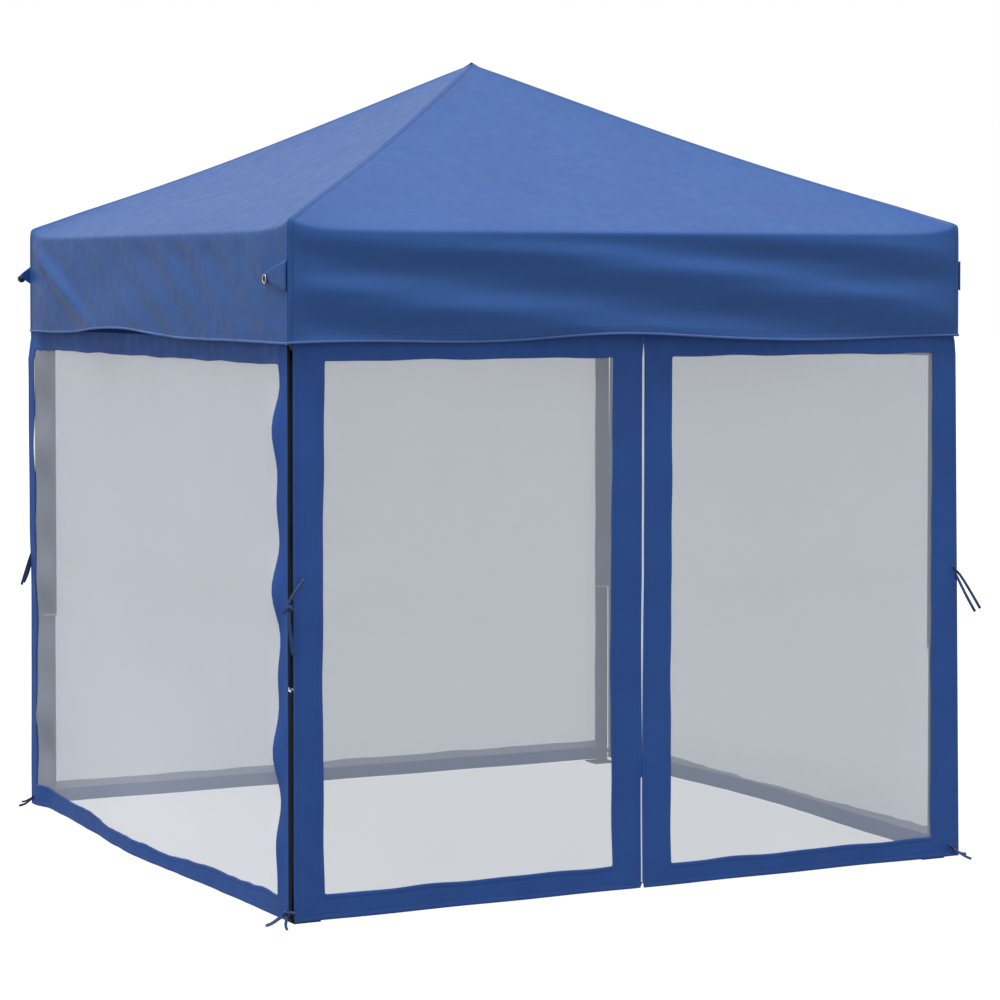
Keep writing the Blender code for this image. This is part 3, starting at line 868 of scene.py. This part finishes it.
def turned(name, centre, axis, profile, mat, sides=24):
    """A turned piece: profile is (distance along the axis, radius) pairs, and a closed one makes a ring."""
    axis = Vector(axis).normalized()
    side = axis.orthogonal().normalized()
    top = axis.cross(side)
    points = []
    for along, radius in profile:
        points += [Vector(centre) + axis * along
                   + (side * cos(2 * pi * k / sides) + top * sin(2 * pi * k / sides)) * radius
                   for k in range(sides)]
    faces = quads(len(profile), sides, closed=True)
    if profile[0] == profile[-1]:
        return make(name, points, faces, mat)
    last = (len(profile) - 1) * sides
    faces += [tuple(range(sides)), tuple(range(last, last + sides))]
    return make(name, points, faces, mat)


def rolled_rim(inner, outer, high, steps=12):
    """The closed profile of an eyelet's rim."""
    middle, half = (inner + outer) / 2, (outer - inner) / 2
    rim = [(high * (0.5 + 0.5 * cos(2 * pi * k / steps)), middle + half * sin(2 * pi * k / steps))
           for k in range(steps)]
    return rim + rim[:1]


TAB_TOP, TAB_TIP_Z = 1.640, 1.600
TAB_TIP_HALF = 0.006        # half of the blunt tip's height
TAB_STAND = 0.0062          # clear of the valance's folds
TAB_THICK = 0.0016
EYELET_RIM = rolled_rim(0.0088, 0.0125, 0.0026)
# painted shade: a dark plastic plug fills the eyelet's hole, standing in for the shade seen through it
EYELET_SHADE_PLUG = ((-0.0014, 0.0112), (0.0003, 0.0112), (0.0006, 0.0090), (0.0006, 0.0010))


def corner_tab(corner, side, base, reach, bottom, rows=14, columns=8):
    """A triangular tab with an eyelet at its tip, sewn on near the valance's corner."""
    body = CORNERS[corner][2]
    points = []
    for i in range(rows + 1):
        t = i / rows
        high = TAB_TOP + (TAB_TIP_Z + TAB_TIP_HALF - TAB_TOP) * t
        low = bottom + (TAB_TIP_Z - TAB_TIP_HALF - bottom) * t
        across = base + reach * t
        out = HALF + TAB_STAND + 0.002 * sin(pi * t) - CORNER_PULL * exp(-((1 - abs(across)) / 0.10) ** 2)
        points += [at(side, across, out, low + (high - low) * k / columns) for k in range(columns + 1)]
    outward = SIDES[side][1]
    tab = make(f"corner_tab_{corner}", points, quads(rows + 1, columns + 1), CANOPY, outward)
    thicken(tab, TAB_THICK)
    seat = at(side, base + reach * 0.92, HALF + TAB_STAND + 0.0006, TAB_TIP_Z - 0.008)
    rim = turned(f"corner_eyelet_{corner}", seat, outward, EYELET_RIM, CHROME)
    # painted shade: the dark plug in the eyelet's hole
    back = turned(f"corner_eyelet_shade_plug_{corner}", seat, outward, EYELET_SHADE_PLUG, PLASTIC)
    for piece in (tab, rim, back):
        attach(piece, body)


corner_tab("front_left", "left", -0.9915, 0.120, 1.560)
corner_tab("front_right", "right", -0.9915, 0.120, 1.560)
corner_tab("back_left", "back", -0.972, -0.046, 1.565)
corner_tab("back_right", "back", 0.972, 0.046, 1.565)

# ---- end ring of an upper leg: (height from the leg's end, how far outside the leg's faces) ----
RING_PROFILE = ((-0.0020, -0.0006), (-0.0026, 0.0006), (-0.0022, 0.0012), (0.0022, 0.0012),
                (0.0028, 0.0008), (0.0024, 0.0002))
RING_ROUNDING = 0.003
SNAP_PROFILE = ((0, 0.0042), (0.0016, 0.0042), (0.0026, 0.0036), (0.0032, 0.0022), (0.0034, 0.0004))
SNAP_UP = 0.045             # above the upper leg's end


def rounded_square(centre, half, rounding):
    """Points round a level square with rounded corners, five to a corner."""
    points = []
    for quarter in range(4):
        turn = pi / 2 * quarter
        middle = Vector((cos(turn + pi / 4), sin(turn + pi / 4), 0)) * (half - rounding) * sqrt(2)
        points += [centre + middle + Vector((cos(turn + pi / 8 * k), sin(turn + pi / 8 * k), 0)) * rounding
                   for k in range(5)]
    return points


def leg_fittings():
    """The end ring and the snap button of each upper leg."""
    for corner, (sx, _, body) in CORNERS.items():
        low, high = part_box(f"upper_leg_{corner}")
        centre, half = (low + high) / 2, (high.x - low.x) / 2
        rings = []
        for up, grow in RING_PROFILE:
            rings += rounded_square(Vector((centre.x, centre.y, low.z + up)), half + grow, RING_ROUNDING)
        ring = make(f"leg_end_ring_{corner}", rings, quads(len(RING_PROFILE), 20, closed=True), RING)
        snap = turned(f"leg_snap_{corner}", (centre.x - sx * (half - 0.0004), centre.y, low.z + SNAP_UP),
                      (-sx, 0, 0), SNAP_PROFILE, CHROME, sides=16)
        for piece in (ring, snap):
            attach(piece, body)


leg_fittings()


def finish_frame():
    """Better materials on the frame's own parts."""
    for name, obj in NODES.items():
        if name.startswith(("upper_leg", "lower_leg")):
            mat = STEEL
        elif "_scissor_" in name or name.startswith("roof_strut") or name == "peak_pole":
            mat = ALUMINIUM
        elif name.startswith("slider_button"):
            mat = BUTTON
        else:
            mat = PLASTIC
        for slot in obj.material_slots:
            slot.material = mat


finish_frame()


# ---------------------------------------------------------------- camera, light, ground
def camera():
    """A long lens near eye height, looking slightly down at the front left corner."""
    data = bpy.data.cameras.new("camera")
    data.lens = 111.4
    data.sensor_width = 36
    data.shift_y = -0.11
    data.clip_end = 100
    obj = bpy.data.objects.new("camera", data)
    bpy.context.scene.collection.objects.link(obj)
    obj.location = (-3.9446, -7.9655, 1.598)
    turn, pitch = radians(26.87), radians(-2.1)
    look = Vector((sin(turn) * cos(pitch), cos(turn) * cos(pitch), sin(pitch)))
    obj.rotation_mode = "QUATERNION"
    obj.rotation_quaternion = look.to_track_quat("-Z", "Y")
    bpy.context.scene.camera = obj


HORIZON_LIGHT, ZENITH_LIGHT, FLOOR_LIGHT, SUN_STRENGTH = 0.48, 1.0, 0.30, 2.5
SUN_ANGLE = radians(22)     # a wide sun, for soft shadows
SUN_DIRECTION = (0.30, 0.13, -1.0)
FLOOR_SIZE = 60             # half width
FLOOR_DROP = 0.0005         # below the feet
FLOOR_SEEN = 0.95           # brightness of the floor to the camera


def soft_sky():
    """White to the camera, and a light that is stronger from above than from the horizon."""
    world = bpy.data.worlds.new("studio")
    bpy.context.scene.world = world
    world.use_nodes = True
    tree = world.node_tree
    background = tree.nodes["Background"]
    towards = node(tree, "SeparateXYZ", Vector=node(tree, "TexCoord").outputs["Generated"])
    height = node(tree, "MapRange", Value=towards.outputs["Z"], From_Min=-0.1, From_Max=0.8,
                  To_Min=HORIZON_LIGHT, To_Max=ZENITH_LIGHT)
    seen = node(tree, "LightPath").outputs["Is Camera Ray"]
    grey = node(tree, "CombineColor", Red=height.outputs[0], Green=height.outputs[0], Blue=height.outputs[0])
    light = blend_colours(tree, seen, grey.outputs[0], (1, 1, 1, 1))
    tree.links.new(light, background.inputs["Color"])


def sun():
    """One soft sun, high and from the front left."""
    data = bpy.data.lights.new("overhead", "SUN")
    data.energy = SUN_STRENGTH
    data.angle = SUN_ANGLE
    obj = bpy.data.objects.new("overhead", data)
    bpy.context.scene.collection.objects.link(obj)
    obj.rotation_mode = "QUATERNION"
    obj.rotation_quaternion = Vector(SUN_DIRECTION).to_track_quat("-Z", "Y")


def pale_floor():
    """A plain floor, paler to the camera than the light that it gives back."""
    mat, tree, shader = new_material("pale_floor", 0.9)
    shader.inputs["Base Color"].default_value = (0.12, 0.12, 0.12, 1)
    shader.inputs["Emission Color"].default_value = (1, 1, 1, 1)
    glow = node(tree, "MapRange", Value=node(tree, "LightPath").outputs["Is Camera Ray"],
                To_Min=FLOOR_LIGHT, To_Max=FLOOR_SEEN)
    tree.links.new(glow.outputs[0], shader.inputs["Emission Strength"])
    size = FLOOR_SIZE
    corners = [(-size, -size, 0), (size, -size, 0), (size, size, 0), (-size, size, 0)]
    floor = make("floor", corners, [(0, 1, 2, 3)], mat, UP)
    floor.location.z = -FLOOR_DROP


camera()
soft_sky()
sun()
pale_floor()
bpy.context.scene.view_settings.view_transform = "Standard"
